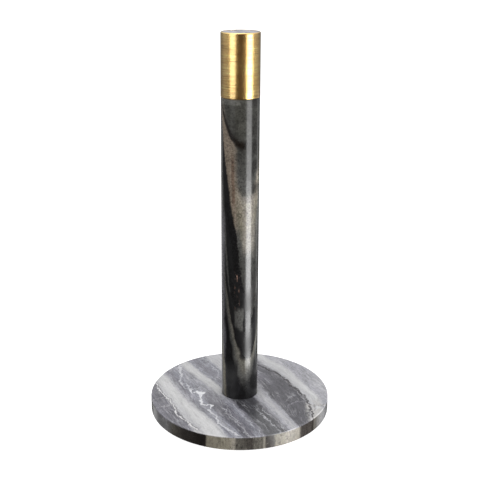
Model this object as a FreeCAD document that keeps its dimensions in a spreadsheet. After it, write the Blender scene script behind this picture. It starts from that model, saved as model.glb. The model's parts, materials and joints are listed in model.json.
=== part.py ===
import FreeCAD, Part
import os
import Sketcher
from FreeCAD import Vector

# A free-standing paper towel holder: a round stone base, a stone post that the roll drops over, and a
# brass-sleeved cap that screws onto the tie rod running down through the post and the base.
# Millimetres, +Z up. The origin is the centre of the footprint, on the surface that the feet stand on.
# Every sub-part is one object of the document, and its sizes and place are expressions on the sheet "Dims".

DIMENSIONS = [
    # alias, value, meaning
    ("base_diameter", 152.0, "stone base, across"),
    ("base_thickness", 12.0, "stone base"),
    ("base_arris", 0.8, "rounded edge of the base"),
    ("seat_diameter", 31.0, "shallow seat for the post in the base"),
    ("seat_depth", 0.8, "shallow seat for the post in the base"),
    ("recess_diameter", 30.0, "recess under the base for the fixings"),
    ("recess_depth", 7.5, "recess under the base for the fixings"),
    ("base_hole_diameter", 8.0, "clearance hole for the tie rod"),
    ("foot_diameter", 14.0, "adhesive foot"),
    ("foot_height", 1.2, "adhesive foot"),
    ("foot_edge", 0.3, "rounded lower edge of a foot"),
    ("foot_circle", 124.0, "circle through the feet's centres"),
    ("gasket_diameter", 30.0, "gasket under the post"),
    ("gasket_bore", 12.0, "gasket under the post"),
    ("gasket_thickness", 0.6, "gasket under the post"),
    ("post_diameter", 30.5, "stone post, across"),
    ("post_length", 254.7, "stone post"),
    ("post_arris", 0.3, "broken edges of the post"),
    ("post_bore", 10.0, "drilled through the post"),
    ("pocket_diameter", 20.0, "counterbore in the post's top"),
    ("pocket_depth", 14.0, "counterbore in the post's top"),
    ("bush_diameter", 9.9, "centring bush in the post's bore"),
    ("bush_bore", 6.2, "centring bush"),
    ("bush_length", 12.0, "centring bush"),
    ("rod_diameter", 5.9, "tie rod, over the crests of its thread"),
    ("rod_length", 274.9, "tie rod"),
    ("rod_lift", 1.0, "lower end of the rod above the surface"),
    ("rod_end_chamfer", 0.5, "tie rod ends"),
    ("thread_pitch", 1.0, "right-hand thread"),
    ("thread_root_diameter", 4.76, "tie rod thread"),
    ("thread_root_flat", 0.25, "tie rod thread"),
    ("thread_flank", 30.0, "tie rod thread, each flank in degrees"),
    ("thread_overcut", 0.05, "how far the cutting V stands out past the crests"),
    ("upper_thread", 24.0, "threaded length at the upper end"),
    ("lower_thread", 9.0, "threaded length at the lower end"),
    ("nut_flats", 10.0, "hexagon nut, across flats"),
    ("nut_face", 9.6, "hexagon nut, flat face between the chamfers"),
    ("nut_chamfer", 30.0, "hexagon nut, slope of the chamfers in degrees"),
    ("nut_bore", 6.0, "hexagon nut"),
    ("thin_nut_height", 3.2, "nut under the base"),
    ("nut_height", 5.0, "nut in the post's top"),
    ("cushion_diameter", 26.0, "rubber washer under the base"),
    ("cushion_thickness", 0.8, "rubber washer under the base"),
    ("wide_washer_diameter", 24.0, "steel washer under the base"),
    ("wide_washer_thickness", 1.2, "steel washer under the base"),
    ("washer_diameter", 18.0, "steel washer in the post's top"),
    ("washer_thickness", 1.6, "steel washer in the post's top"),
    ("washer_bore", 6.4, "all flat washers"),
    ("spring_diameter", 11.4, "split spring washer"),
    ("spring_bore", 6.1, "split spring washer"),
    ("spring_thickness", 1.6, "split spring washer"),
    ("spring_slit", 0.9, "split spring washer"),
    ("spring_slant", 25.0, "lean of the slit, in degrees"),
    ("glide_diameter", 28.0, "nylon glide ring between cap and post"),
    ("glide_bore", 20.0, "nylon glide ring"),
    ("glide_thickness", 1.2, "nylon glide ring"),
    ("lip_gap", 0.2, "between the sleeve's lip and the post"),
    ("sleeve_diameter", 30.9, "brass sleeve, across"),
    ("sleeve_wall", 1.2, "brass sleeve"),
    ("sleeve_length", 49.5, "brass sleeve"),
    ("sleeve_round", 1.0, "rounded upper edge of the sleeve"),
    ("sleeve_lip", 0.4, "chamfered lower edge of the sleeve"),
    ("core_diameter", 28.4, "wooden core inside the sleeve"),
    ("core_length", 45.3, "wooden core, above its spigot"),
    ("spigot_diameter", 19.4, "spigot that centres the cap in the post"),
    ("spigot_length", 5.0, "spigot that centres the cap in the post"),
    ("core_bore", 7.0, "space for the rod's tip in the core"),
    ("core_bore_depth", 20.0, "space for the rod's tip in the core"),
    ("insert_diameter", 9.0, "threaded insert in the core"),
    ("insert_length", 15.0, "threaded insert in the core"),
    ("insert_bore", 6.1, "threaded insert in the core"),
    ("knurl_depth", 0.4, "grooves round the threaded insert"),
    ("knurl_count", 18, "grooves round the threaded insert"),
    ("inlay_diameter", 28.3, "stone inlay in the cap's top"),
    ("inlay_thickness", 3.0, "stone inlay in the cap's top"),
    ("inlay_arris", 0.25, "broken edge of the inlay"),
]

# Heights above the surface, as expressions on the sheet.
BASE_BOTTOM = "Dims.foot_height"
RECESS_ROOF = BASE_BOTTOM + " + Dims.recess_depth"
SEAT_FLOOR = BASE_BOTTOM + " + Dims.base_thickness - Dims.seat_depth"
POST_BOTTOM = SEAT_FLOOR + " + Dims.gasket_thickness"
POST_TOP = POST_BOTTOM + " + Dims.post_length"
POCKET_FLOOR = POST_TOP + " - Dims.pocket_depth"
CUSHION_BOTTOM = RECESS_ROOF + " - Dims.cushion_thickness"
BASE_WASHER_BOTTOM = CUSHION_BOTTOM + " - Dims.wide_washer_thickness"
BASE_SPRING_BOTTOM = BASE_WASHER_BOTTOM + " - Dims.spring_thickness"
BASE_NUT_BOTTOM = BASE_SPRING_BOTTOM + " - Dims.thin_nut_height"
POST_SPRING_BOTTOM = POCKET_FLOOR + " + Dims.washer_thickness"
POST_NUT_BOTTOM = POST_SPRING_BOTTOM + " + Dims.spring_thickness"
SLEEVE_BOTTOM = POST_TOP + " + Dims.lip_gap"
CORE_BOTTOM = POST_TOP + " + Dims.glide_thickness"
INSERT_BOTTOM = CORE_BOTTOM + " - Dims.spigot_length"
INLAY_BOTTOM = CORE_BOTTOM + " + Dims.core_length"

FOOT_COUNT = 4
CLEAR = 1.0  # how far a cutting profile runs past the solid that it cuts

doc = FreeCAD.newDocument("PaperTowelHolder")
dims = doc.addObject("Spreadsheet::Sheet", "Dims")
subparts = []


def fill_sheet():
    for row, (alias, value, meaning) in enumerate(DIMENSIONS, 1):
        dims.set(f"A{row}", alias)
        dims.set(f"B{row}", str(value))
        dims.set(f"C{row}", meaning)
        dims.setAlias(f"B{row}", alias)
    doc.recompute()


def value_of(expression):
    result = dims.evalExpression(expression)
    return float(getattr(result, "Value", result))


def new_body(label, bottom):
    """A body standing at the height that the expression bottom gives."""
    body = doc.addObject("PartDesign::Body", label)
    body.Label = label
    body.setExpression("Placement.Base.z", bottom)
    subparts.append(body)
    return body


def new_sketch(body, role="XY_Plane", offset=None):
    sketch = body.newObject("Sketcher::SketchObject", body.Label + "_sketch")
    origin_plane = next(f for f in body.Origin.OriginFeatures if f.Role == role)
    sketch.AttachmentSupport = [(origin_plane, "")]
    sketch.MapMode = "FlatFace"
    if offset:
        sketch.setExpression("AttachmentOffset.Base.z", offset)
    return sketch


def add_circle(sketch, diameter):
    """A circle about the sketch's origin."""
    radius = value_of(diameter) / 2
    circle = sketch.addGeometry(Part.Circle(Vector(0, 0, 0), Vector(0, 0, 1), radius), False)
    sketch.addConstraint(Sketcher.Constraint("Coincident", circle, 3, -1, 1))
    size = sketch.addConstraint(Sketcher.Constraint("Diameter", circle, 2 * radius))
    sketch.setExpression(f"Constraints[{size}]", diameter)


def add_polygon(sketch, corners):
    """A closed outline through corners, each a pair of expressions. A corner on an axis says "0"."""
    points = [Vector(value_of(x), value_of(y), 0) for x, y in corners]
    ends = points[1:] + points[:1]
    lines = [sketch.addGeometry(Part.LineSegment(a, b), False) for a, b in zip(points, ends)]
    for line, following in zip(lines, lines[1:] + lines[:1]):
        sketch.addConstraint(Sketcher.Constraint("Coincident", line, 2, following, 1))
    for line, point, corner in zip(lines, points, corners):
        for kind, number, expression, axis in (
            ("DistanceX", point.x, corner[0], -2),
            ("DistanceY", point.y, corner[1], -1),
        ):
            if expression == "0":
                sketch.addConstraint(Sketcher.Constraint("PointOnObject", line, 1, axis))
                continue
            size = sketch.addConstraint(Sketcher.Constraint(kind, -1, 1, line, 1, number))
            sketch.setExpression(f"Constraints[{size}]", expression)


def add_pad(body, sketch, length):
    pad = body.newObject("PartDesign::Pad", body.Label + "_pad")
    pad.Profile = sketch
    pad.setExpression("Length", length)
    doc.recompute()
    return pad


def check_cut(body, feature, volume_before):
    """Stops the macro if a cutting feature missed the solid."""
    if not feature.Shape.Volume < volume_before - 1e-6:
        raise RuntimeError(f"{feature.Label} cuts nothing from {body.Label}")


def add_pocket(body, sketch, length=None, upward=False):
    """Cuts the sketch's outline for length below the sketch, or above it, or right through."""
    before = body.Shape.Volume
    pocket = body.newObject("PartDesign::Pocket", body.Label + "_pocket")
    pocket.Profile = sketch
    pocket.Reversed = upward
    if length is None:
        pocket.Type = "ThroughAll"
    else:
        pocket.setExpression("Length", length)
    doc.recompute()
    check_cut(body, pocket, before)
    return pocket


def add_groove(body, sketch):
    before = body.Shape.Volume
    groove = body.newObject("PartDesign::Groove", body.Label + "_groove")
    groove.Profile = sketch
    groove.ReferenceAxis = (sketch, ["V_Axis"])
    groove.Angle = 360.0
    doc.recompute()
    check_cut(body, groove, before)
    return groove


def circle_edges(feature, diameter, height):
    """Names of the circular edges about Z with that diameter, at that height in the body."""
    radius, z = value_of(diameter) / 2, value_of(height)
    names = []
    for number, edge in enumerate(feature.Shape.Edges, 1):
        curve = edge.Curve
        if not isinstance(curve, Part.Circle):
            continue
        if abs(curve.Radius - radius) < 1e-6 and abs(curve.Center.z - z) < 1e-6:
            names.append(f"Edge{number}")
    if not names:
        raise RuntimeError(f"{feature.Label} has no edge of diameter {diameter} at {height}")
    return names


def dress_edges(body, kind, size, edges):
    """A Fillet or Chamfer of the size expression on circular edges, each a (diameter, height) pair."""
    base = body.Tip
    names = [name for diameter, height in edges for name in circle_edges(base, diameter, height)]
    dressed = body.newObject("PartDesign::" + kind, f"{body.Label}_{kind.lower()}")
    dressed.Base = (base, names)
    dressed.setExpression("Radius" if kind == "Fillet" else "Size", size)
    doc.recompute()
    check_cut(body, dressed, base.Shape.Volume)
    return dressed


def make_disc(label, bottom, diameter, thickness, bore=None):
    """A disc, or a ring if it has a bore."""
    body = new_body(label, bottom)
    sketch = new_sketch(body)
    add_circle(sketch, diameter)
    if bore:
        add_circle(sketch, bore)
    add_pad(body, sketch, thickness)
    return body


def make_base_plate():
    """Stone disc: a seat for the post on top, a recess for the fixings below, and the rod's hole."""
    top = "Dims.base_thickness"
    body = make_disc("base_plate", BASE_BOTTOM, "Dims.base_diameter", top)
    recess = new_sketch(body)
    add_circle(recess, "Dims.recess_diameter")
    add_pocket(body, recess, "Dims.recess_depth", upward=True)
    seat = new_sketch(body, offset=top)
    add_circle(seat, "Dims.seat_diameter")
    add_pocket(body, seat, "Dims.seat_depth")
    hole = new_sketch(body, offset=top)
    add_circle(hole, "Dims.base_hole_diameter")
    add_pocket(body, hole)
    dress_edges(body, "Fillet", "Dims.base_arris", [("Dims.base_diameter", "0"), ("Dims.base_diameter", top)])


def make_feet():
    for index in range(FOOT_COUNT):
        foot = make_disc(f"foot_{index + 1}", "0", "Dims.foot_diameter", "Dims.foot_height")
        dress_edges(foot, "Fillet", "Dims.foot_edge", [("Dims.foot_diameter", "0")])
        turn = f"{(index + 0.5) * 360 / FOOT_COUNT} deg"
        foot.setExpression("Placement.Base.x", f"Dims.foot_circle / 2 * cos({turn})")
        foot.setExpression("Placement.Base.y", f"Dims.foot_circle / 2 * sin({turn})")


def make_post():
    """Stone post, bored through, with a counterbore in its top for the nut and the cap's spigot."""
    top = "Dims.post_length"
    body = make_disc("post", POST_BOTTOM, "Dims.post_diameter", top)
    ends = [("Dims.post_diameter", "0"), ("Dims.post_diameter", top)]
    dress_edges(body, "Chamfer", "Dims.post_arris", ends)
    before = body.Shape.Volume
    centre = new_sketch(body, offset=top)
    add_circle(centre, "Dims.post_bore")
    doc.recompute()
    hole = body.newObject("PartDesign::Hole", "post_hole")
    hole.Profile = centre
    doc.recompute()
    hole.DepthType = "ThroughAll"
    hole.HoleCutType = "Counterbore"
    hole.setExpression("Diameter", "Dims.post_bore")
    hole.setExpression("HoleCutDiameter", "Dims.pocket_diameter")
    hole.setExpression("HoleCutDepth", "Dims.pocket_depth")
    doc.recompute()
    check_cut(body, hole, before)


def cut_thread(body, start, length):
    """A right-hand V groove round the rod, from start along +Z for length."""
    before = body.Shape.Volume
    sketch = new_sketch(body, "XZ_Plane")
    root, half_flat = "Dims.thread_root_diameter / 2", "Dims.thread_root_flat / 2"
    # The V ends just outside the crests, so neighbouring turns never meet.
    edge = "(Dims.rod_diameter / 2 + Dims.thread_overcut)"
    half_mouth = f"{half_flat} + ({edge} - {root}) * tan(Dims.thread_flank * 1 deg)"
    add_polygon(
        sketch,
        [
            (root, f"{start} - {half_flat}"),
            (edge, f"{start} - ({half_mouth})"),
            (edge, f"{start} + {half_mouth}"),
            (root, f"{start} + {half_flat}"),
        ],
    )
    doc.recompute()
    groove = body.newObject("PartDesign::SubtractiveHelix", body.Label + "_thread")
    groove.Profile = sketch
    groove.ReferenceAxis = (sketch, ["V_Axis"])
    groove.Mode = "pitch-height-angle"
    groove.setExpression("Pitch", "Dims.thread_pitch")
    groove.setExpression("Height", length)
    doc.recompute()
    check_cut(body, groove, before)


def make_tie_rod():
    """Steel rod with chamfered ends and a thread at each end."""
    top = "Dims.rod_length"
    body = make_disc("tie_rod", "Dims.rod_lift", "Dims.rod_diameter", top)
    ends = [("Dims.rod_diameter", "0"), ("Dims.rod_diameter", top)]
    dress_edges(body, "Chamfer", "Dims.rod_end_chamfer", ends)
    cut_thread(body, "-1 * Dims.thread_pitch", "Dims.lower_thread + Dims.thread_pitch")
    cut_thread(body, f"({top} - Dims.upper_thread)", "Dims.upper_thread + Dims.thread_pitch")


def make_nut(label, bottom, height):
    """Hexagon nut, chamfered on both faces, with a plain bore over the thread's crests."""
    body = new_body(label, bottom)
    corner = "Dims.nut_flats / sqrt(3)"
    sketch = new_sketch(body)
    across = []
    for index in range(6):
        turn = f"{index * 60} deg"
        y = "0" if index % 3 == 0 else f"{corner} * sin({turn})"
        across.append((f"{corner} * cos({turn})", y))
    add_polygon(sketch, across)
    add_pad(body, sketch, height)
    outside = f"{corner} + {CLEAR}"
    inside = "Dims.nut_face / 2"
    drop = f"({outside} - {inside}) * tan(Dims.nut_chamfer * 1 deg)"
    for face, inwards, outwards in (("0", "+", "-"), (height, "-", "+")):
        slope = new_sketch(body, "XZ_Plane")
        beyond = f"{face} {outwards} {CLEAR}"
        rim = f"{face} {inwards} {drop}"
        add_polygon(slope, [(inside, face), (outside, rim), (outside, beyond), (inside, beyond)])
        add_groove(body, slope)
    bore = new_sketch(body, offset=height)
    add_circle(bore, "Dims.nut_bore")
    add_pocket(body, bore)


def make_spring_washer(label, bottom):
    """Split washer: a ring with one slanted slit."""
    thickness = "Dims.spring_thickness"
    body = make_disc(label, bottom, "Dims.spring_diameter", thickness, "Dims.spring_bore")
    slit = new_sketch(body, "YZ_Plane")
    half = "Dims.spring_slit / 2"
    lean = f"({thickness} / 2 + {CLEAR}) * tan(Dims.spring_slant * 1 deg)"
    below, above = f"-1 * {CLEAR}", f"{thickness} + {CLEAR}"
    add_polygon(
        slit,
        [
            (f"-1 * {half} - {lean}", below),
            (f"{half} - {lean}", below),
            (f"{half} + {lean}", above),
            (f"-1 * {half} + {lean}", above),
        ],
    )
    add_pocket(body, slit, "Dims.spring_diameter", upward=True)


def make_clamp_under_base():
    """Rubber washer, wide steel washer, spring washer and thin nut, in the recess under the base."""
    make_disc(
        "base_cushion", CUSHION_BOTTOM, "Dims.cushion_diameter", "Dims.cushion_thickness", "Dims.washer_bore"
    )
    make_disc(
        "base_washer",
        BASE_WASHER_BOTTOM,
        "Dims.wide_washer_diameter",
        "Dims.wide_washer_thickness",
        "Dims.washer_bore",
    )
    make_spring_washer("base_spring_washer", BASE_SPRING_BOTTOM)
    make_nut("base_nut", BASE_NUT_BOTTOM, "Dims.thin_nut_height")


def make_clamp_in_post():
    """Steel washer, spring washer and nut, in the post's counterbore."""
    make_disc(
        "post_washer", POCKET_FLOOR, "Dims.washer_diameter", "Dims.washer_thickness", "Dims.washer_bore"
    )
    make_spring_washer("post_spring_washer", POST_SPRING_BOTTOM)
    make_nut("post_nut", POST_NUT_BOTTOM, "Dims.nut_height")


def make_bushes():
    """Nylon bushes that keep the rod central, at both ends of the post's bore."""
    for label, bottom in (
        ("lower_bush", POST_BOTTOM),
        ("upper_bush", POCKET_FLOOR + " - Dims.bush_length"),
    ):
        make_disc(label, bottom, "Dims.bush_diameter", "Dims.bush_length", "Dims.bush_bore")


def make_cap_sleeve():
    """Brass tube with a rounded upper edge and a lightly chamfered lip."""
    body = new_body("cap_sleeve", SLEEVE_BOTTOM)
    sketch = new_sketch(body, "XZ_Plane")
    outer = "Dims.sleeve_diameter / 2"
    inner = f"{outer} - Dims.sleeve_wall"
    top = "Dims.sleeve_length"
    add_polygon(sketch, [(inner, "0"), (outer, "0"), (outer, top), (inner, top)])
    tube = body.newObject("PartDesign::Revolution", "cap_sleeve_revolution")
    tube.Profile = sketch
    tube.ReferenceAxis = (sketch, ["V_Axis"])
    tube.Angle = 360.0
    doc.recompute()
    dress_edges(body, "Fillet", "Dims.sleeve_round", [("Dims.sleeve_diameter", top)])
    dress_edges(body, "Chamfer", "Dims.sleeve_lip", [("Dims.sleeve_diameter", "0")])


def make_cap_core():
    """Turned wooden core with a spigot below, bored for the insert and for the rod's tip."""
    body = new_body("cap_core", INSERT_BOTTOM)
    spigot = new_sketch(body)
    add_circle(spigot, "Dims.spigot_diameter")
    add_pad(body, spigot, "Dims.spigot_length")
    barrel = new_sketch(body, offset="Dims.spigot_length")
    add_circle(barrel, "Dims.core_diameter")
    add_pad(body, barrel, "Dims.core_length")
    for diameter, depth in (
        ("Dims.core_bore", "Dims.core_bore_depth"),
        ("Dims.insert_diameter", "Dims.insert_length"),
    ):
        bore = new_sketch(body)
        add_circle(bore, diameter)
        add_pocket(body, bore, depth, upward=True)


def make_cap_insert():
    """Brass insert pressed into the core, with a ring of V grooves and a plain bore over the thread."""
    body = make_disc(
        "cap_insert", INSERT_BOTTOM, "Dims.insert_diameter", "Dims.insert_length", "Dims.insert_bore"
    )
    groove = new_sketch(body)
    rim, depth = "Dims.insert_diameter / 2", "Dims.knurl_depth"
    mouth = f"{rim} + {depth}"
    corners = [(f"{rim} - {depth}", "0"), (mouth, f"-2 * {depth}"), (mouth, f"2 * {depth}")]
    add_polygon(groove, corners)
    before = body.Shape.Volume
    cut = add_pocket(body, groove, "Dims.insert_length", upward=True)
    ring = body.newObject("PartDesign::PolarPattern", "cap_insert_knurl")
    ring.Originals = [cut]
    ring.Axis = (groove, ["N_Axis"])
    ring.Angle = 360.0
    ring.setExpression("Occurrences", "Dims.knurl_count")
    body.Tip = ring
    doc.recompute()
    grooves = (before - ring.Shape.Volume) / (before - cut.Shape.Volume)
    if round(grooves) != value_of("Dims.knurl_count"):
        raise RuntimeError(f"the insert has {grooves:.1f} grooves")


def make_cap():
    make_disc("cap_glide_ring", POST_TOP, "Dims.glide_diameter", "Dims.glide_thickness", "Dims.glide_bore")
    make_cap_sleeve()
    make_cap_core()
    make_cap_insert()
    inlay = make_disc("cap_inlay", INLAY_BOTTOM, "Dims.inlay_diameter", "Dims.inlay_thickness")
    dress_edges(inlay, "Chamfer", "Dims.inlay_arris", [("Dims.inlay_diameter", "Dims.inlay_thickness")])


def check_document():
    """Stops the macro if any object failed, or any sub-part isn't one sound solid."""
    doc.recompute()
    for item in doc.Objects:
        if {"Invalid", "Error"} & set(item.State):
            raise RuntimeError(f"{item.Label} failed: {item.State}")
    for body in subparts:
        shape = body.Shape
        if shape.isNull() or not shape.isValid() or len(shape.Solids) != 1 or shape.Volume <= 0:
            raise RuntimeError(f"{body.Label} is not one sound solid")


def export_subparts():
    os.makedirs("parts", exist_ok=True)
    for body in subparts:
        body.Shape.exportStep(f"parts/{body.Label}.step")
        box = body.Shape.BoundBox
        print(f"{body.Label:20s} z {box.ZMin:8.2f} to {box.ZMax:8.2f}   {body.Shape.Volume:12.1f} mm3")


fill_sheet()
make_base_plate()
make_feet()
make_disc("post_gasket", SEAT_FLOOR, "Dims.gasket_diameter", "Dims.gasket_thickness", "Dims.gasket_bore")
make_post()
make_bushes()
make_tie_rod()
make_clamp_under_base()
make_clamp_in_post()
make_cap()
check_document()
export_subparts()
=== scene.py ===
import json
import math

import bpy
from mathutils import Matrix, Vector


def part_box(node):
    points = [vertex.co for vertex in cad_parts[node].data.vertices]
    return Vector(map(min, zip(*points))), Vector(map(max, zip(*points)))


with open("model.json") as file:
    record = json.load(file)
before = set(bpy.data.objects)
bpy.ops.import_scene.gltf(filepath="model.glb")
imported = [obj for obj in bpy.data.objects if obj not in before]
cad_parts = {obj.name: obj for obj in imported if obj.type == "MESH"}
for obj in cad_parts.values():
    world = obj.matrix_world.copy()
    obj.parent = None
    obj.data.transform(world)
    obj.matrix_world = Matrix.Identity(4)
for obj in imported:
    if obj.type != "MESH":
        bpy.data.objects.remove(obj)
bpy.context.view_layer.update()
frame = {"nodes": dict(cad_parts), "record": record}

MM = 0.001  # metres in a millimetre: shapes are in metres, and materials work in millimetres
REACH = 80.0  # mm either side of the axis that a drawn curve covers
MIX_A, MIX_B, MIX_RESULT = 6, 7, 2  # the colour sockets of a Mix node, whose names aren't unique
NOISE_GAIN = 4.0  # brings a noise that keeps near a half to about -1 to 1
FADE = 2.5  # mm over which a vein fades at each end

BASE_TOP_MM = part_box("base_plate")[1][2] / MM
POST_RADIUS_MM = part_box("post")[1][0] / MM


# ---------------------------------------------------------------- material graphs


def srgb(red, green, blue):
    """A colour given as it looks on a screen, 0 to 255, as the linear RGBA that the shaders take."""
    linear = []
    for channel in (red, green, blue):
        c = channel / 255
        linear.append(c / 12.92 if c <= 0.04045 else ((c + 0.055) / 1.055) ** 2.4)
    return (*linear, 1.0)


class Graph:
    """The node tree of one material, with a short method for each kind of node. Lengths are in mm."""

    def __init__(self, name):
        self.material = bpy.data.materials.new(name)
        self.material.use_nodes = True
        self.tree = self.material.node_tree
        self.shader = self.tree.nodes["Principled BSDF"]
        coordinates = self.add("ShaderNodeTexCoord").outputs["Object"]
        self.place = self.vector("SCALE", coordinates, scale=1 / MM)
        self.x, self.y, self.z = self.split(self.place)

    def add(self, kind, **settings):
        node = self.tree.nodes.new(kind)
        for key, value in settings.items():
            setattr(node, key, value)
        return node

    def link(self, source, socket):
        """Joins an output to an input, or sets the input if source is a plain value."""
        if isinstance(source, bpy.types.NodeSocket):
            self.tree.links.new(source, socket)
        else:
            socket.default_value = source

    def set(self, **values):
        """Plain values or sockets for the shader, such as base_color or coat_weight."""
        names = {key.lower().replace(" ", "_"): key for key in self.shader.inputs.keys()}
        for key, value in values.items():
            self.link(value, self.shader.inputs[names[key]])

    def math(self, operation, a, b=0.0, c=0.0):
        node = self.add("ShaderNodeMath", operation=operation)
        for value, socket in zip((a, b, c), node.inputs):
            self.link(value, socket)
        return node.outputs[0]

    def sum(self, *terms):
        total = terms[0]
        for term in terms[1:]:
            total = self.math("ADD", total, term)
        return total

    def times(self, *factors):
        total = factors[0]
        for factor in factors[1:]:
            total = self.math("MULTIPLY", total, factor)
        return total

    def vector(self, operation, a, b=None, scale=None):
        node = self.add("ShaderNodeVectorMath", operation=operation)
        self.link(a, node.inputs[0])
        if b is not None:
            self.link(b, node.inputs[1])
        if scale is not None:
            self.link(scale, node.inputs["Scale"])
        return node.outputs["Value" if operation in ("LENGTH", "DOT_PRODUCT") else "Vector"]

    def join(self, x, y, z):
        node = self.add("ShaderNodeCombineXYZ")
        for value, socket in zip((x, y, z), node.inputs):
            self.link(value, socket)
        return node.outputs[0]

    def split(self, vector):
        node = self.add("ShaderNodeSeparateXYZ")
        self.link(vector, node.inputs[0])
        return node.outputs

    def turned(self, degrees):
        """The place in axes turned by degrees about Z, as sockets (across, along, z)."""
        node = self.add("ShaderNodeMapping")
        node.inputs["Rotation"].default_value = (0, 0, -math.radians(degrees))
        self.link(self.place, node.inputs["Vector"])
        return self.split(node.outputs[0])

    def noise(self, size, detail=2.0, roughness=0.5, vector=None, stretch=(1, 1, 1), seed=0.0):
        """Noise, mostly from -1 to 1, with lumps about size mm across, longer where stretch is over 1."""
        node = self.add("ShaderNodeTexNoise", noise_dimensions="4D")
        where = self.place if vector is None else vector
        factors = tuple(1 / (size * s) for s in stretch)
        self.link(self.vector("MULTIPLY", where, factors), node.inputs["Vector"])
        node.inputs["W"].default_value = seed
        node.inputs["Scale"].default_value = 1.0
        node.inputs["Detail"].default_value = detail
        node.inputs["Roughness"].default_value = roughness
        return self.math("MULTIPLY_ADD", node.outputs["Fac"], NOISE_GAIN, -NOISE_GAIN / 2)

    def rise(self, value, low, high):
        """0 below low, 1 above high, smooth between. With low above high it falls instead."""
        node = self.add("ShaderNodeMapRange", interpolation_type="SMOOTHSTEP", clamp=False)
        for source, name in ((value, "Value"), (low, "From Min"), (high, "From Max")):
            self.link(source, node.inputs[name])
        return node.outputs["Result"]

    def band(self, value, centre, half, soft):
        """1 within half of centre, falling smoothly to 0 over soft."""
        gap = self.math("ABSOLUTE", self.math("SUBTRACT", value, centre))
        return self.rise(gap, half + soft, half)

    def ramp(self, value, stops):
        """Colours along a length: stops are (mm, colour), in order, at most 32."""
        first, last = stops[0][0], stops[-1][0]
        span = last - first
        node = self.add("ShaderNodeValToRGB")
        ramp = node.color_ramp
        ramp.elements.remove(ramp.elements[-1])
        ramp.elements[0].position = 0.0
        ramp.elements[0].color = stops[0][1]
        for place, colour in stops[1:]:
            ramp.elements.new((place - first) / span).color = colour
        self.link(self.math("MULTIPLY_ADD", value, 1 / span, -first / span), node.inputs[0])
        return node.outputs["Color"]

    def mix(self, share, a, b):
        """Colour a, going to b by share."""
        node = self.add("ShaderNodeMix", data_type="RGBA")
        self.link(share, node.inputs["Factor"])
        self.link(a, node.inputs[MIX_A])
        self.link(b, node.inputs[MIX_B])
        return node.outputs[MIX_RESULT]

    def lay(self, colour, paint, strength, *masks):
        """The colour, painted over where a mask is 1."""
        for mask in masks:
            colour = self.mix(self.times(mask, strength), colour, paint)
        return colour

    def shade(self, colour, amount):
        """The colour times 1 + amount."""
        return self.vector("SCALE", colour, scale=self.math("ADD", amount, 1.0))

    def curve(self, value, points):
        """A smooth line through points (value, result), in order of value, all within REACH of 0."""
        node = self.add("ShaderNodeFloatCurve")
        line = node.mapping.curves[0]
        places = [(0.5 + at / (2 * REACH), 0.5 + result / (2 * REACH)) for at, result in points]
        line.points[0].location = places[0]
        line.points[1].location = places[-1]
        for place in places[1:-1]:
            line.points.new(*place)
        node.mapping.update()
        self.link(self.math("MULTIPLY_ADD", value, 0.5 / REACH, 0.5), node.inputs["Value"])
        return self.math("MULTIPLY_ADD", node.outputs[0], 2 * REACH, -REACH)

    def vein(self, along, across, points, width, soft):
        """1 on a line that runs along, through points (along, across), else 0, with faded ends."""
        gap = self.math("ABSOLUTE", self.math("SUBTRACT", across, self.curve(along, points)))
        line = self.rise(gap, self.math("ADD", width, soft), width)
        first, last = points[0][0], points[-1][0]
        return self.times(line, self.band(along, (first + last) / 2, (last - first) / 2, FADE))

    def bump(self, height, depth, normal=None):
        """Bumps of depth mm where height goes from 0 to 1."""
        node = self.add("ShaderNodeBump")
        node.inputs["Distance"].default_value = depth * MM
        self.link(height, node.inputs["Height"])
        if normal is not None:
            self.link(normal, node.inputs["Normal"])
        return node.outputs[0]


# ---------------------------------------------------------------- stone

GRAIN = 26.0  # degrees between the base's strata and the Y axis
BASE_LIFT = -0.24  # the base is this share darker than its bands' tones
INLAY_REFLECTION_LIFT = 0.95  # and the inlay this share lighter, a painted reflection of the bright surroundings on its polished top

# The tones of the stone.
WHITE = srgb(205, 205, 206)
PALE = srgb(184, 184, 187)
SILVER = srgb(160, 160, 167)
GREY = srgb(142, 143, 152)
LILAC = srgb(124, 123, 132)
SLATE = srgb(108, 107, 114)
DARK = srgb(86, 85, 91)
CHARCOAL = srgb(66, 66, 70)
EDGE_GREY = srgb(130, 130, 132)
CREAM = srgb(155, 150, 140)
TAUPE = srgb(135, 130, 117)
DRAB = srgb(95, 92, 86)
UMBER = srgb(60, 56, 53)
SEPIA = srgb(35, 32, 30)
OLIVE = srgb(104, 100, 88)
SAND = srgb(118, 112, 102)
MOSS = srgb(88, 86, 80)
STEEL = srgb(70, 70, 68)
IRON = srgb(54, 54, 52)
SOOT = srgb(40, 40, 39)
BLACK = srgb(20, 20, 21)

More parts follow.
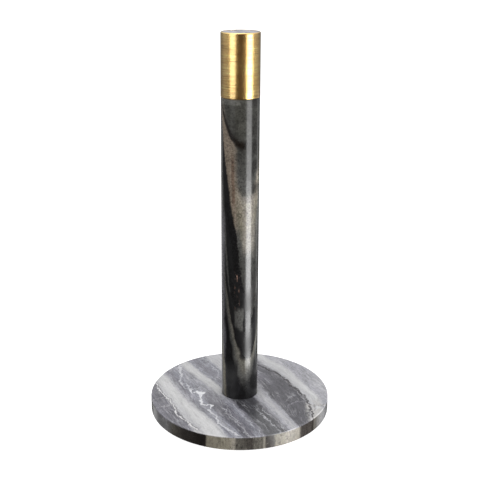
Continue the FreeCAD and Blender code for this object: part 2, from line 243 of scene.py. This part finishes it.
# The base's top, across its strata: one set of bands in front of the post, and one behind it.
FRONT_BANDS = [
    (-76, LILAC),
    (-66, SLATE),
    (-63, LILAC),
    (-61, PALE),
    (-57, PALE),
    (-54, WHITE),
    (-47, WHITE),
    (-43.5, PALE),
    (-41, GREY),
    (-37, SILVER),
    (-33.5, GREY),
    (-31, SLATE),
    (-26, SLATE),
    (-22, LILAC),
    (-18, GREY),
    (-14.5, LILAC),
    (-12.5, CHARCOAL),
    (1.5, CHARCOAL),
    (5, DARK),
    (8, SILVER),
    (14, PALE),
    (17.5, SILVER),
    (21, DARK),
    (43.5, DARK),
    (48, PALE),
    (55, WHITE),
    (59, SILVER),
    (76, PALE),
]
BACK_BANDS = [
    (-76, LILAC),
    (-66, SLATE),
    (-62.5, SLATE),
    (-60, PALE),
    (-55, WHITE),
    (-49, WHITE),
    (-45, SILVER),
    (-42, LILAC),
    (-37, GREY),
    (-23, SILVER),
    (-19, WHITE),
    (-14, WHITE),
    (-11.5, GREY),
    (-5, LILAC),
    (0, GREY),
    (3, PALE),
    (14, PALE),
    (20, SILVER),
    (25, SLATE),
    (31, LILAC),
    (35, SLATE),
    (39, DARK),
    (44.5, SLATE),
    (49.5, PALE),
    (56, WHITE),
    (60, SILVER),
    (76, SILVER),
]
# The base's edge cuts across deeper, warmer strata.
EDGE_BANDS = [
    (-74.5, EDGE_GREY),
    (-72, DRAB),
    (-68, UMBER),
    (-60, SEPIA),
    (-55.3, SEPIA),
    (-54.5, TAUPE),
    (-40, TAUPE),
    (-37.5, CREAM),
    (-35.5, DRAB),
    (-24, UMBER),
    (-22, DRAB),
    (-15.5, DRAB),
    (-14.2, CREAM),
    (-13, UMBER),
    (-7, UMBER),
    (-4, TAUPE),
    (2, TAUPE),
    (6, CREAM),
    (17.4, CREAM),
    (19.7, UMBER),
    (31.5, UMBER),
    (33.4, SEPIA),
    (35.4, DRAB),
    (48, EDGE_GREY),
    (76, EDGE_GREY),
]
# The post, up its strata.
POST_BANDS = [
    (-100, STEEL),
    (-40, IRON),
    (0, MOSS),
    (30, STEEL),
    (50, OLIVE),
    (70, OLIVE),
    (77, BLACK),
    (131, BLACK),
    (143, STEEL),
    (154, MOSS),
    (161, BLACK),
    (172, BLACK),
    (179, STEEL),
    (192, STEEL),
    (204, SOOT),
    (214, SOOT),
    (234, IRON),
    (256, STEEL),
    (272, OLIVE),
    (288, SAND),
    (303, STEEL),
    (330, IRON),
    (380, IRON),
]
# The inlay, across its strata, and its one vein: points (along, across).
INLAY_BANDS = [(-15, SLATE), (-8, GREY), (-4, SLATE), (1, SLATE), (6, GREY), (15, SLATE)]
INLAY_VEIN = [(-15, -3), (-5, -1), (3, -3.5), (15, -1.5)]
# How far the strata wander sideways: points (along, shift), for the right, the middle and the left.
RIGHT_WANDER = [(-75, 14), (-60, 10), (-50, 5.5), (-40, 2.5), (-20, 0.5), (0, 0), (20, 1.5), (35, 5.5),
                (60, 8)]
MIDDLE_WANDER = [(-75, 0), (20, 0), (40, 2), (50, 3.5), (75, 5.5)]
LEFT_WANDER = [(-75, -4), (-60, -2), (-40, -1), (-20, 0.8), (0, 1.2), (20, 0.5), (75, 0)]

# Veins that run with the strata: points (along, across).
WEDGE_VEIN = [(-44, -58.5), (-33, -60.5), (-25, -62), (-15, -63), (-5, -62.5), (3, -62), (10, -60.5),
              (18, -62), (25, -62), (33, -62.5), (40, -61.5), (52, -60)]
SQUIGGLE = [(-64, -33), (-54, -36.5), (-46, -38), (-38, -38.5), (-32, -37.5), (-25, -36.5), (-20, -36),
            (-16, -33.5), (-12.5, -31), (-10, -34), (-8, -37.5), (-5, -39), (-1, -37), (2, -36), (5, -34),
            (10, -30), (13, -33), (16, -38), (20, -38), (26, -40), (34, -40.5), (42, -38.5), (50, -34),
            (57, -31), (68, -28)]
LOOP = [(16, -39), (19, -37), (24, -35.5), (30, -36.5), (35, -39.5)]
FRONT_LINES = [
    [(-75, -25), (-58, -26), (-46, -25), (-34, -26.5), (-22, -25.5)],
    [(-50, -22.5), (-36, -23.5), (-20, -22)],
    [(-75, -14), (-60, -15), (-44, -15.5), (-20, -16)],
    [(-75, -1), (-50, -1), (-36, -0.5)],
    [(-75, 4.5), (-50, 4), (-36, 4.5)],
]
BACK_LINES = [
    [(40, -2.5), (48, -1.5), (60, -2.5), (76, -2)],
    [(17, -12), (24, -11.5), (30, -8.5), (35, -3.5), (42, -2)],
    [(22, -27), (29, -24), (33, -26.5), (40, -29.5), (50, -27), (56, -24)],
]
JAGGED_LINE = [(-66, 35), (-57, 38), (-47, 41.5), (-38, 43.5), (-26, 45.5), (-12, 45), (4, 45.5), (16, 44),
               (30, 40), (42, 35)]
# How wide the squiggle is: points (along, half width).
SQUIGGLE_WIDTH = [(-64, 0.6), (-44, 0.6), (-32, 0.25), (-20, 0.3), (-13, 0.9), (-6, 1.1), (0, 0.5), (6, 1.5),
                  (12, 1.9), (17, 0.3), (34, 0.15), (46, 0.3), (56, 1.0), (68, 0.4)]
# Veins that run across the strata: points (across, along).
CROSS_VEINS = [[(-76, 16), (-70, 17), (-63, 18.5)], [(-76, 3), (-70, 3.5), (-63, 2)]]
BRANCH = [(-38, 17.5), (-34, 19), (-29, 21.5)]
PATCH_VEINS = [[(40, -47), (45, -49), (51, -52.5), (59, -53)], [(37, -58), (41, -56), (45, -50)]]
DARK_PATCH_VEINS = [[(22, -46), (26, -42), (32, -39), (42, -39)], [(28, -33), (33, -30.5), (39, -28)]]


def quiet(g, colour):
    """1 in grey stone, falling to 0.4 in the palest, which is the smoothest."""
    return g.math("MULTIPLY_ADD", g.rise(g.split(colour)[0], 0.28, 0.56), -0.6, 1.0)


def stone_detail(g, colour, across, along, tone, streak=0.36, grain=0.28):
    """Fine streaks along the strata, and crystal grain, all lightened by tone or darkened by -tone."""
    where = g.join(across, along, g.z)
    fine = g.noise(0.9, 3, 0.7, where, stretch=(1, 12, 10), seed=3)
    broad = g.noise(3.0, 4, 0.7, where, stretch=(1, 6, 6), seed=5)
    speck = g.noise(1.3, 3, 0.75, seed=8)
    uneven = g.sum(g.times(fine, streak), g.times(broad, streak * 0.6), g.times(speck, grain))
    return g.shade(colour, g.sum(g.times(uneven, quiet(g, colour)), tone))


def threads(g, across, along, size, thickness, seed):
    """1 on hairlines that wander along the strata, closing into long loops, else 0."""
    where = g.join(across, along, 0.0)
    level = g.math("ABSOLUTE", g.noise(size, 3, 0.6, where, stretch=(1, 7, 1), seed=seed))
    return g.rise(level, thickness, 0.0)


def polish(g, roughness, variation, ior, extra=0.0):
    """Polished stone: roughness a little uneven, with a faint lapped waviness and small pits."""
    patches = g.noise(14, 3, 0.6, seed=21)
    pits = g.noise(0.7, 2, 0.6, seed=23)
    marks = g.rise(pits, 1.05, 1.35)
    uneven = g.sum(g.times(patches, variation), roughness, g.times(marks, 0.3), extra)
    g.set(roughness=uneven, ior=ior)
    waves = g.bump(g.noise(9, 2, 0.5, seed=25), 0.004)
    g.set(normal=g.bump(g.math("SUBTRACT", 1.0, marks), 0.02, waves))


def pale_marble():
    """Banded marble of the base: grey, lilac and white strata, with white and black veins."""
    g = Graph("pale_marble")
    across, along, _ = g.turned(GRAIN)
    sway = g.sum(
        g.times(g.noise(60, 1, 0.5, seed=1), 0.9),
        g.times(g.noise(17, 2, 0.5, seed=2), 0.9),
        g.times(g.noise(4.0, 4, 0.65, seed=4), 1.1),
    )
    wander = g.sum(
        g.times(g.curve(along, RIGHT_WANDER), g.band(across, 38, 12, 12)),
        g.times(g.curve(along, MIDDLE_WANDER), g.band(across, -16, 9, 7)),
        g.times(g.curve(along, LEFT_WANDER), g.band(across, -39, 6, 7)),
    )
    bent = g.sum(across, sway, wander)
    behind = g.rise(g.sum(along, g.times(sway, 4)), -16, 18)
    top = g.mix(behind, g.ramp(bent, FRONT_BANDS), g.ramp(bent, BACK_BANDS))

    # the dark band pales outwards, and there is a pale speckled patch at the right front
    outward = g.times(g.rise(along, -30, -58), g.band(bent, -4, 9, 4))
    top = g.mix(g.times(outward, 0.25), top, srgb(138, 138, 141))
    patch = g.times(g.rise(along, -40, -48), g.band(bent, 50, 6, 4))
    top = g.mix(g.times(patch, g.rise(g.noise(6, 3, 0.6, seed=31), -0.4, 0.5)), top, srgb(186, 184, 182))

    # the veins' own jitter, both ways, and their widths
    side = g.sum(
        across,
        g.times(g.noise(3.2, 4, 0.7, seed=6), 1.9),
        g.times(g.noise(9, 1, 0.5, seed=13), 1.8),
    )
    far = g.sum(
        along,
        g.times(g.noise(3.2, 4, 0.7, seed=7), 2.4),
        g.times(g.noise(9, 1, 0.5, seed=14), 2.0),
    )
    swell = g.noise(6, 2, 0.6, seed=9)
    thin = g.math("MAXIMUM", g.math("MULTIPLY_ADD", swell, 0.2, 0.1), 0.0)
    wide = g.math("MAXIMUM", g.math("MULTIPLY_ADD", swell, 0.5, 0.5), 0.05)
    fat = g.math("MAXIMUM", g.sum(g.curve(along, SQUIGGLE_WIDTH), g.times(swell, 0.5)), 0.05)
    firm = g.math("MAXIMUM", g.math("MULTIPLY_ADD", swell, 0.3, 0.25), 0.05)
    faint = g.math("MULTIPLY_ADD", g.band(along, 1, 15, 8), 0.35, 0.6)

    def with_strata(lines, width, soft):
        """Masks of the veins that run along the strata."""
        return [g.vein(far, side, points, width, soft) for points in lines]

    def over_strata(lines, width, soft):
        """Masks of the veins that cross the strata."""
        return [g.vein(side, far, points, width, soft) for points in lines]

    top = g.lay(top, srgb(96, 94, 99), 0.6, *with_strata([WEDGE_VEIN], 0.9, 1.6))
    top = g.lay(top, srgb(50, 47, 49), 0.95, *with_strata([JAGGED_LINE], wide, 1.2))
    top = g.lay(top, srgb(84, 80, 82), 0.6, *over_strata(PATCH_VEINS, 0.5, 1.2))
    top = g.lay(top, srgb(232, 231, 232), 0.95, *with_strata([WEDGE_VEIN], firm, 0.5))
    top = g.lay(top, srgb(176, 174, 178), 0.7, *over_strata(CROSS_VEINS, thin, 0.8))
    top = g.lay(top, srgb(232, 233, 237), faint, *with_strata([SQUIGGLE], fat, 0.8))
    top = g.lay(top, srgb(214, 215, 220), 0.9, *with_strata([LOOP], thin, 0.7))
    top = g.lay(top, srgb(214, 215, 220), 0.9, *over_strata([BRANCH], thin, 0.8))
    top = g.lay(top, srgb(186, 187, 192), 0.6, *with_strata(FRONT_LINES + BACK_LINES, thin, 0.7))
    top = g.lay(top, srgb(214, 211, 209), 0.8, *over_strata(PATCH_VEINS, thin, 0.7))
    top = g.lay(top, srgb(158, 157, 165), 0.65, *over_strata(DARK_PATCH_VEINS, thin, 0.9))

    # hairlines all along the strata, pale and dark
    pale_areas = g.rise(g.noise(15, 2, 0.5, seed=36), -0.5, 0.7)
    pale_threads = g.times(threads(g, bent, along, 5.0, 0.22, 35), pale_areas)
    top = g.mix(g.times(pale_threads, 0.38), top, srgb(204, 204, 209))
    dark_areas = g.rise(g.noise(12, 2, 0.5, seed=38), -0.4, 0.6)
    dark_threads = g.times(threads(g, bent, along, 7.0, 0.16, 37), dark_areas)
    top = g.mix(g.times(dark_threads, quiet(g, top), 0.35), top, srgb(84, 84, 90))

    # dark specks in the palest bands
    dots = g.rise(g.noise(1.3, 2, 0.5, seed=33), 1.0, 1.25)
    top = g.mix(g.times(dots, g.band(bent, 53, 6, 4), 0.6), top, srgb(96, 95, 97))

    # the edge, mottled where it crosses the middle strata, takes over just under the rounded rim
    edge_across = g.sum(across, g.times(g.noise(7, 3, 0.6, stretch=(1, 1, 3), seed=11), 0.45))
    edge = g.ramp(edge_across, EDGE_BANDS)
    mottle = g.noise(2.6, 4, 0.75, stretch=(1, 1, 1.6), seed=12)
    mottled = g.band(bent, -18, 26, 6)
    edge = g.mix(g.times(g.rise(mottle, 0.1, 0.6), mottled, 0.75), edge, srgb(40, 39, 38))
    edge = g.mix(g.times(g.rise(mottle, -0.3, -0.9), mottled, 0.6), edge, srgb(172, 169, 160))
    below_rim = g.rise(g.sum(g.z, g.times(mottle, 0.25)), BASE_TOP_MM - 0.5, BASE_TOP_MM - 1.3)

    colour = stone_detail(g, g.mix(below_rim, top, edge), bent, along, BASE_LIFT)
    g.set(base_color=colour)
    polish(g, 0.22, 0.03, 1.5)
    return g.material


def dark_marble():
    """Near-black marble of the post: steep strata that the round post cuts into long curves."""
    g = Graph("dark_marble")
    sway = g.sum(g.times(g.noise(32, 2, 0.5, seed=41), 7), g.times(g.noise(6, 4, 0.65, seed=42), 3))
    blot = g.noise(5, 4, 0.7, stretch=(1, 1, 2.2), seed=46)
    height = g.sum(g.z, sway)
    blotted = g.sum(height, g.times(blot, 4))
    calm = g.sum(g.z, g.times(sway, 0.35))
    side = g.sum(g.times(g.x, 1 / POST_RADIUS_MM), g.times(sway, 0.012))
    front = g.rise(g.sum(g.y, g.times(sway, 0.4)), 4, -4)

    def tilted(facing, drop, height):
        """Height at which the stratum through this place crosses the axis, for strata that are lowest at
        facing degrees round from the front, where they are drop mm below that."""
        a = math.radians(facing)
        slope = drop / POST_RADIUS_MM
        towards = (math.sin(a) * slope, -math.cos(a) * slope, 0.0)
        return g.math("ADD", g.vector("DOT_PRODUCT", g.place, towards), height)

    main = tilted(20, 109, blotted)
    steep = tilted(40, 180, g.sum(blotted, g.times(blot, 8)))
    gentle = tilted(12, 36.5, calm)
    leftward = tilted(-20, 70, height)
    colour = g.ramp(main, POST_BANDS)

    # the widest black stratum, and a grey lens below it
    black = g.times(g.band(steep, 219, 49, 8), g.rise(main, 277, 263), g.rise(main, 152, 162))
    colour = g.lay(colour, BLACK, 0.95, black)
    lens = g.times(front, g.band(side, -0.05, 0.18, 0.12), g.band(height, 86, 5, 6))
    colour = g.lay(colour, srgb(80, 80, 78), 0.8, lens)
    # the left of the front: lilac-grey low down, brownish above
    left = g.rise(side, -0.74, -0.92)
    colour = g.lay(colour, srgb(102, 101, 106), 0.85, g.times(left, g.band(leftward, 165, 52, 22)))
    brown = g.times(g.rise(side, -0.05, -0.4), g.rise(gentle, 270, 264), g.rise(main, 250, 262))
    colour = g.lay(colour, srgb(124, 113, 101), 0.9, brown)
    # painted shade: a black wedge at the foot, left of the middle, just above the base
    foot_shade = g.times(front, g.band(side, -0.42, 0.24, 0.14), g.rise(height, 52, 40))
    colour = g.lay(colour, BLACK, 0.9, foot_shade)
    # dark mottled stone under the cap, bounded by a dark line that hangs like a swag
    colour = g.lay(colour, srgb(60, 60, 56), 0.8, g.rise(gentle, 268, 280))
    swag = g.times(g.band(gentle, 269, 0.8, 4.5), g.rise(side, 0.45, 0.15))
    colour = g.lay(colour, srgb(22, 18, 15), 0.95, swag)
    # dark blotches down the right
    blotch = g.noise(11, 3, 0.6, seed=43)
    right = g.rise(side, 0.2, 0.5)
    dark_right = g.times(right, g.math("MAXIMUM", g.band(height, 104, 5, 7), g.band(height, 236, 34, 12)))
    colour = g.lay(colour, srgb(34, 33, 32), 0.8, g.times(dark_right, g.rise(blotch, -0.7, 0.2)))
    # a paler patch where the light catches it most: partly a pale stratum, partly painted highlight
    pale_and_painted_highlight = g.times(front, g.band(side, 0.45, 0.22, 0.2), g.band(height, 169, 17, 13))
    colour = g.lay(colour, srgb(118, 114, 107), 0.7, pale_and_painted_highlight)
    # a rusty streak, and small red and white crystals in the black
    rust = g.times(front, g.band(side, -0.36, 0.03, 0.1), g.band(height, 205, 16, 12))
    colour = g.lay(colour, srgb(74, 52, 40), 0.6, rust)
    crystals = g.noise(1.8, 2, 0.6, stretch=(1, 1, 2.5), seed=47)
    cluster = g.times(front, g.band(side, -0.16, 0.08, 0.08), g.band(height, 113, 12, 8))
    colour = g.lay(colour, srgb(122, 98, 88), 0.7, g.times(cluster, g.rise(crystals, 0.25, 0.6)))
    # painted highlight: a paler ring right under the cap, on the left
    painted_rim_highlight = g.times(g.rise(g.z, 262.5, 264.5), g.rise(side, 0.1, -0.2))
    colour = g.lay(colour, srgb(104, 104, 100), 0.55, painted_rim_highlight)

    # mottled all over, more so in the upper half
    grainy = g.math("MULTIPLY_ADD", g.rise(g.z, 60, 140), 0.25, 0.5)
    mottle = g.sum(
        g.times(g.noise(4.5, 4, 0.7, stretch=(1, 1, 1.5), seed=44), 0.42),
        g.times(g.noise(1.5, 3, 0.7, seed=45), grainy),
    )
    colour = g.shade(colour, mottle)
    specks = g.rise(g.noise(1.2, 1, 0.5, seed=48), 1.0, 1.25)
    colour = g.lay(colour, srgb(136, 131, 124), 0.5, specks)
    g.set(base_color=colour)

    # the darkest strata take less polish
    dull = g.math("MAXIMUM", g.band(main, 208, 2, 15), g.band(main, 172, 3, 15))
    polish(g, 0.19, 0.03, 1.42, extra=g.times(dull, 0.15))
    return g.material


def inlay_stone():
    """Grey-lilac polished stone let into the cap's top."""
    g = Graph("inlay_stone")
    across, along, _ = g.turned(GRAIN)
    bent = g.sum(across, g.times(g.noise(11, 3, 0.6, seed=51), 1.6))
    colour = g.ramp(bent, INLAY_BANDS)
    side = g.sum(across, g.times(g.noise(3, 3, 0.6, seed=52), 0.9))
    vein = g.vein(along, side, INLAY_VEIN, 0.15, 0.5)
    colour = g.mix(g.times(vein, 0.5), colour, srgb(226, 226, 229))
    # the inlay's tones lifted as a painted reflection on its top
    g.set(base_color=stone_detail(g, colour, bent, along, INLAY_REFLECTION_LIFT, 0.26, 0.25))
    polish(g, 0.12, 0.02, 1.5)
    return g.material


# ---------------------------------------------------------------- metal


def brushed(g, length, seed, pitch=0.12):
    """Fine brush lines round the Z axis, -1 to 1, that run for about length mm."""
    direction = g.vector("NORMALIZE", g.join(g.x, g.y, 0.0))
    around = g.split(g.vector("SCALE", direction, scale=15.0))
    where = g.join(around[0], around[1], g.z)
    return g.noise(pitch, 3, 0.6, where, stretch=(length / pitch, length / pitch, 1), seed=seed)


def brushed_brass():
    """Brass tube, brushed round and lacquered, with a little tarnish and a few small marks."""
    g = Graph("brushed_brass")
    lines = brushed(g, 16, 61)
    wide_lines = brushed(g, 22, 62, 0.6)
    clouds = g.noise(9, 3, 0.55, seed=63)
    colour = g.mix(g.rise(clouds, -1.0, 1.0), (0.86, 0.54, 0.19, 1), (0.92, 0.62, 0.25, 1))
    colour = g.mix(g.times(g.rise(wide_lines, 0.3, -1.2), 0.35), colour, (0.66, 0.31, 0.05, 1))
    colour = g.shade(colour, g.sum(g.times(lines, 0.8), g.times(wide_lines, 0.32)))
    spots = g.rise(g.noise(1.6, 1, 0.5, seed=64), 1.1, 1.3)
    colour = g.mix(g.times(spots, 0.6), colour, (0.20, 0.11, 0.04, 1))
    g.set(
        base_color=colour,
        metallic=1.0,
        roughness=g.sum(0.21, g.times(lines, 0.03), g.times(clouds, 0.02), g.times(spots, 0.2)),
        anisotropic=0.75,
        coat_weight=1.0,
        coat_roughness=0.12,
        tangent=g.add("ShaderNodeTangent", direction_type="RADIAL", axis="Z").outputs[0],
        normal=g.bump(g.sum(lines, wide_lines), 0.0016),
    )
    return g.material


def insert_brass():
    """Free-cutting brass as turned: brighter, with coarser tool lines."""
    g = Graph("insert_brass")
    lines = brushed(g, 30, 66, 0.35)
    oxide = g.noise(2.5, 3, 0.6, seed=67)
    colour = g.mix(g.rise(oxide, -1, 1.2), (0.70, 0.47, 0.18, 1), (0.84, 0.62, 0.28, 1))
    g.set(
        base_color=g.shade(colour, g.times(lines, 0.06)),
        metallic=1.0,
        roughness=g.sum(0.3, g.times(oxide, 0.04)),
        normal=g.bump(lines, 0.004),
    )
    return g.material


def plated_steel(name, light, dark, roughness):
    """Zinc-plated or oiled steel: clouded plating, turning marks, darker in small random patches."""
    g = Graph(name)
    clouds = g.noise(3.0, 4, 0.6, seed=71)
    lines = brushed(g, 12, 72, 0.25)
    grime = g.rise(g.noise(1.1, 3, 0.65, seed=73), 0.5, 1.4)
    colour = g.mix(g.rise(clouds, -1, 1), dark, light)
    colour = g.mix(g.times(grime, 0.5), colour, (0.10, 0.095, 0.09, 1))
    g.set(
        base_color=g.shade(colour, g.times(lines, 0.05)),
        metallic=1.0,
        roughness=g.sum(roughness, g.times(clouds, 0.05), g.times(grime, 0.2)),
        normal=g.bump(g.sum(lines, clouds), 0.003),
    )
    return g.material


# ---------------------------------------------------------------- wood, nylon and rubber


def turned_wood():
    """Plain turned beech: growth rings off the centre, long flecks, end grain on its faces."""
    g = Graph("turned_wood")
    off_centre = g.vector("SUBTRACT", g.place, (38.0, 21.0, 0.0))
    flat = g.vector("MULTIPLY", off_centre, (1, 1, 0.04))
    wobble = g.times(g.noise(24, 3, 0.6, seed=81, stretch=(1, 1, 6)), 1.4)
    rings = g.math("FRACT", g.times(g.sum(g.vector("LENGTH", flat), wobble), 0.55))
    early = srgb(203, 168, 127)
    colour = g.ramp(
        rings,
        [(0, early), (0.55, srgb(193, 153, 110)), (0.9, srgb(160, 117, 77)), (1, early)],
    )
    flecks = g.noise(0.5, 2, 0.6, seed=82, stretch=(1, 1, 14))
    colour = g.mix(g.times(g.rise(flecks, 0.5, 1.2), 0.5), colour, srgb(122, 82, 50))
    g.set(
        base_color=g.shade(colour, g.times(g.noise(0.3, 3, 0.7, seed=83, stretch=(1, 1, 25)), 0.09)),
        roughness=g.sum(0.62, g.times(flecks, 0.06)),
        normal=g.bump(flecks, 0.03),
    )
    return g.material


def nylon():
    """Natural nylon: off-white and slightly see-through, with faint moulding flow."""
    g = Graph("nylon")
    flow = g.noise(4, 3, 0.6, seed=85, stretch=(1, 1, 3))
    colour = g.mix(g.rise(flow, -1, 1), srgb(232, 228, 214), srgb(214, 208, 190))
    g.set(
        base_color=g.shade(colour, g.times(g.noise(0.4, 2, 0.6, seed=86), 0.03)),
        roughness=g.sum(0.42, g.times(flow, 0.05)),
        subsurface_weight=0.25,
        normal=g.bump(g.noise(0.5, 3, 0.6, seed=87), 0.01),
    )
    g.shader.inputs["Subsurface Radius"].default_value = (1.2 * MM, 1.1 * MM, 0.8 * MM)
    g.shader.inputs["Subsurface Scale"].default_value = 1.0
    return g.material


def rubber(name, light, dark, pebble):
    """Black rubber: dusty, with a fine moulded grain of pebble mm."""
    g = Graph(name)
    dust = g.noise(5, 4, 0.6, seed=91)
    grain = g.noise(pebble, 3, 0.6, seed=92)
    g.set(
        base_color=g.shade(g.mix(g.rise(dust, -0.8, 1.4), dark, light), g.times(grain, 0.12)),
        roughness=g.sum(0.72, g.times(dust, 0.08)),
        specular_ior_level=0.35,
        normal=g.bump(grain, 0.05),
    )
    return g.material


def make_materials():
    """One finished material for each slot of the record."""
    return {
        "pale_marble": pale_marble(),
        "dark_marble": dark_marble(),
        "inlay_stone": inlay_stone(),
        "brushed_brass": brushed_brass(),
        "insert_brass": insert_brass(),
        "zinc_steel": plated_steel("zinc_steel", (0.66, 0.67, 0.68, 1), (0.50, 0.52, 0.54, 1), 0.34),
        "spring_steel": plated_steel("spring_steel", (0.26, 0.26, 0.27, 1), (0.16, 0.16, 0.17, 1), 0.42),
        "nylon": nylon(),
        "gasket_rubber": rubber("gasket_rubber", srgb(52, 51, 50), srgb(30, 30, 30), 0.35),
        "foot_rubber": rubber("foot_rubber", srgb(66, 65, 63), srgb(38, 38, 38), 0.6),
        "turned_wood": turned_wood(),
    }


# ---------------------------------------------------------------- floor, light and camera


def make_floor():
    """A plain white floor, clear when seen from below. Only the camera sees it, so it neither shades the
    object nor shows in it, and the lights below its level reach the base."""
    reach = 14.0
    mesh = bpy.data.meshes.new("floor")
    corners = [(-reach, -reach, 0), (reach, -reach, 0), (reach, reach, 0), (-reach, reach, 0)]
    mesh.from_pydata(corners, [], [(0, 1, 2, 3)])
    floor = bpy.data.objects.new("floor", mesh)
    bpy.context.scene.collection.objects.link(floor)
    material = bpy.data.materials.new("floor")
    material.use_nodes = True
    tree = material.node_tree
    shader = tree.nodes["Principled BSDF"]
    shader.inputs["Base Color"].default_value = (0.5, 0.5, 0.5, 1)
    shader.inputs["Roughness"].default_value = 0.9
    shader.inputs["Specular IOR Level"].default_value = 0.0
    shader.inputs["Emission Color"].default_value = (1, 1, 1, 1)
    shader.inputs["Emission Strength"].default_value = 0.9
    clear = tree.nodes.new("ShaderNodeBsdfTransparent")
    side = tree.nodes.new("ShaderNodeNewGeometry")
    pick = tree.nodes.new("ShaderNodeMixShader")
    tree.links.new(side.outputs["Backfacing"], pick.inputs["Fac"])
    tree.links.new(shader.outputs[0], pick.inputs[1])
    tree.links.new(clear.outputs[0], pick.inputs[2])
    tree.links.new(pick.outputs[0], tree.nodes["Material Output"].inputs["Surface"])
    mesh.materials.append(material)
    floor.visible_glossy = False
    floor.visible_diffuse = False
    floor.visible_shadow = False


def make_world():
    """Studio surroundings: dark and warm in front, grey at the sides and behind, dim on the slope below
    the horizon and brightest overhead. The camera itself sees plain white."""
    world = bpy.data.worlds.new("studio")
    bpy.context.scene.world = world
    world.use_nodes = True
    tree = world.node_tree
    background = tree.nodes["Background"]
    coordinates = tree.nodes.new("ShaderNodeTexCoord")
    split = tree.nodes.new("ShaderNodeSeparateXYZ")
    tree.links.new(coordinates.outputs["Generated"], split.inputs[0])

    def ramp(socket, stops):
        """Colours by direction: stops are (-1 to 1 along the socket's axis, colour)."""
        shift = tree.nodes.new("ShaderNodeMath")
        shift.operation = "MULTIPLY_ADD"
        shift.inputs[1].default_value = 0.5
        shift.inputs[2].default_value = 0.5
        tree.links.new(socket, shift.inputs[0])
        node = tree.nodes.new("ShaderNodeValToRGB")
        elements = node.color_ramp.elements
        elements.remove(elements[-1])
        elements[0].position = (stops[0][0] + 1) / 2
        elements[0].color = (*stops[0][1], 1)
        for place, colour in stops[1:]:
            elements.new((place + 1) / 2).color = (*colour, 1)
        tree.links.new(shift.outputs[0], node.inputs[0])
        return node.outputs["Color"]

    def combine(blend, a, b):
        node = tree.nodes.new("ShaderNodeMix")
        node.data_type = "RGBA"
        node.blend_type = blend
        node.inputs["Factor"].default_value = 1.0
        tree.links.new(a, node.inputs[MIX_A])
        tree.links.new(b, node.inputs[MIX_B])
        return node.outputs[MIX_RESULT]

    def grey(level):
        return (level, level, level)

    front = [(-1, (0.050, 0.028, 0.012)), (-0.87, (0.10, 0.062, 0.032))]
    sides = [(-0.4, grey(0.46)), (0.25, grey(0.46)), (0.6, grey(0.24)), (0.9, grey(0.2)), (0.985, grey(0.4))]
    around = ramp(split.outputs[1], front + sides)
    slope = [(-0.92, grey(1)), (-0.7, grey(0.12)), (-0.3, grey(0.12)), (-0.08, grey(1))]
    below = ramp(split.outputs[2], slope)
    above = ramp(split.outputs[2], [(0.15, grey(0)), (0.3, grey(0.3)), (0.6, grey(0.6)), (0.9, grey(0.9))])
    surroundings = combine("ADD", combine("MULTIPLY", around, below), above)
    seen = tree.nodes.new("ShaderNodeLightPath")
    pick = tree.nodes.new("ShaderNodeMix")
    pick.data_type = "RGBA"
    tree.links.new(seen.outputs["Is Camera Ray"], pick.inputs["Factor"])
    tree.links.new(surroundings, pick.inputs[MIX_A])
    pick.inputs[MIX_B].default_value = (1, 1, 1, 1)
    tree.links.new(pick.outputs[MIX_RESULT], background.inputs["Color"])


AIM_HEIGHT = 0.16
BOX_DISTANCE = 0.9  # of every soft box that stands round the object


def add_light(name, turn, distance, height, width, tall, watts):
    """A soft box turn degrees round from the front towards +X, aimed at the post's middle."""
    light = bpy.data.lights.new(name, "AREA")
    light.shape = "RECTANGLE"
    light.size, light.size_y = width, tall
    light.energy = watts
    lamp = bpy.data.objects.new(name, light)
    a = math.radians(turn)
    lamp.location = (distance * math.sin(a), -distance * math.cos(a), height)
    aim = Vector((0, 0, AIM_HEIGHT)) - lamp.location
    lamp.rotation_euler = aim.to_track_quat("-Z", "Y").to_euler()
    lamp.visible_camera = False
    bpy.context.scene.collection.objects.link(lamp)


def make_lights():
    """A tall light at the front right, in four parts of their own brightness, a box at the front left,
    two dim strips behind, and a lamp overhead."""
    add_light("strip_right", 54, BOX_DISTANCE, 0.20, 0.54, 0.20, 1.4)
    add_light("key_right", 54, BOX_DISTANCE, 0.62, 0.54, 0.58, 2.0)
    add_light("card_upper", 54, BOX_DISTANCE, 0.015, 0.54, 0.17, 1.8)
    add_light("card_right", 54, BOX_DISTANCE, -0.245, 0.54, 0.35, 8.6)
    add_light("box_left", -45, BOX_DISTANCE, 0.48, 0.60, 0.83, 3.1)
    add_light("strip_back", 126, BOX_DISTANCE, -0.18, 0.30, 0.60, 0.50)
    add_light("strip_back_left", -138, BOX_DISTANCE, -0.22, 0.25, 0.66, 0.36)
    add_light("overhead", 180, 0.25, 1.3, 1.0, 1.0, 3.2)


CAMERA_DISTANCE = 0.6883  # metres in front of the axis
CAMERA_HEIGHT = 0.3811
CAMERA_DIP = 18.495  # degrees below level
CAMERA_ROLL = 0.175  # degrees
CAMERA_LENS = 66.7  # mm, on a 36 mm sensor


def make_camera():
    """A camera straight in front, looking down a little at the whole object."""
    camera = bpy.data.objects.new("camera", bpy.data.cameras.new("camera"))
    camera.data.lens = CAMERA_LENS
    camera.location = (0, -CAMERA_DISTANCE, CAMERA_HEIGHT)
    camera.rotation_euler = (math.radians(90 - CAMERA_DIP), 0, 0)
    camera.rotation_euler.rotate_axis("Z", math.radians(CAMERA_ROLL))
    camera.data.clip_start = 0.01
    bpy.context.scene.collection.objects.link(camera)
    bpy.context.scene.camera = camera


# ---------------------------------------------------------------- putting it together


def dress_nodes():
    """Gives each CAD node the material of its slot."""
    materials = make_materials()
    for entry in frame["record"]["subparts"]:
        slots = frame["nodes"][entry["node"]].data.materials
        slots.clear()
        slots.append(materials[entry["material_slot"]])


dress_nodes()
make_floor()
make_world()
make_lights()
make_camera()
bpy.context.scene.view_settings.view_transform = "Standard"
